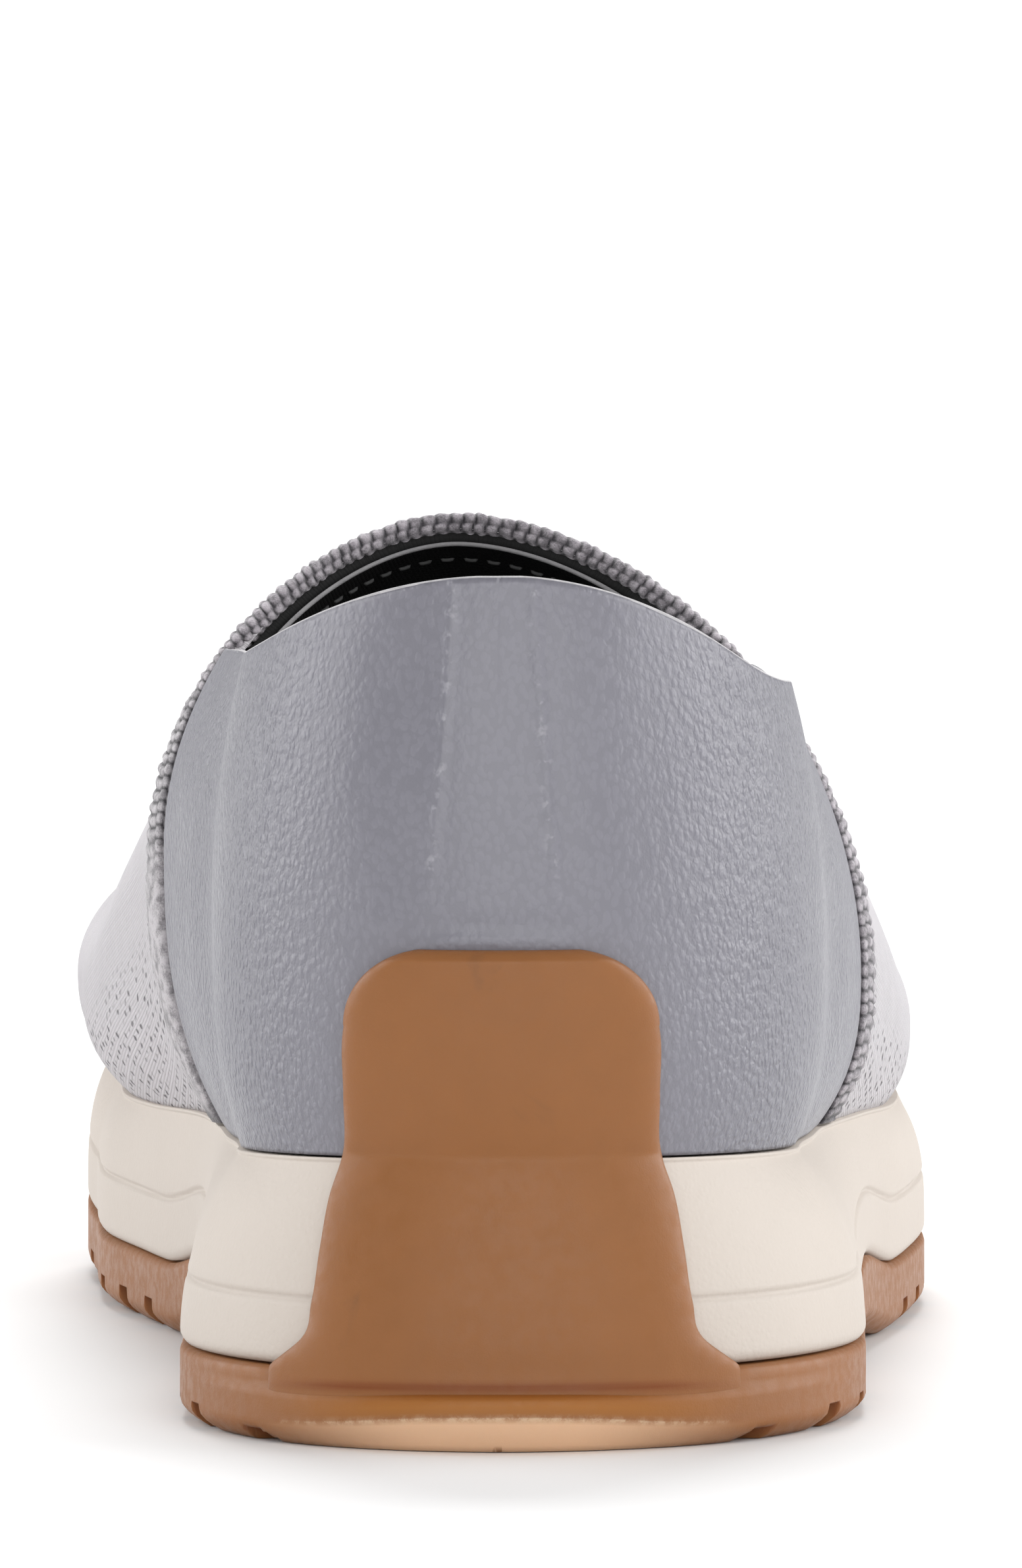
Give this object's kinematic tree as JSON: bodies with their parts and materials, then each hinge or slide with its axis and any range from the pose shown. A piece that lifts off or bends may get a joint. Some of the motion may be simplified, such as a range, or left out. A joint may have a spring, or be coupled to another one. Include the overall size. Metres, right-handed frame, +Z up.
{
  "type": "slip-on sneaker",
  "caption": "Right-foot slip-on sneaker: knit vamp, leather quarter, ribbed collar band, flared foam midsole and rubber outsole with a heel wrap.",
  "frame": {"origin": "middle of the bounding box at the floor, under the outsole", "axes": "+Z up, +Y from heel to toe, +X to the outer (lateral) side of the right foot"},
  "size_m": [0.1004, 0.266, 0.0971],
  "materials": {
    "gum_rubber": "satin translucent gum rubber",
    "foam": "matte moulded foam",
    "knit": "fine knit",
    "pebbled_leather": "soft pebbled leather",
    "ribbed_knit": "thick ribbed knit",
    "lining": "dark brushed lining"
  },
  "bodies": {
    "root": {"outsole": "gum_rubber", "midsole": "foam", "insole": "lining", "upper": "knit", "quarter": "pebbled_leather", "collar_band": "ribbed_knit"}
  },
  "joints": []
}
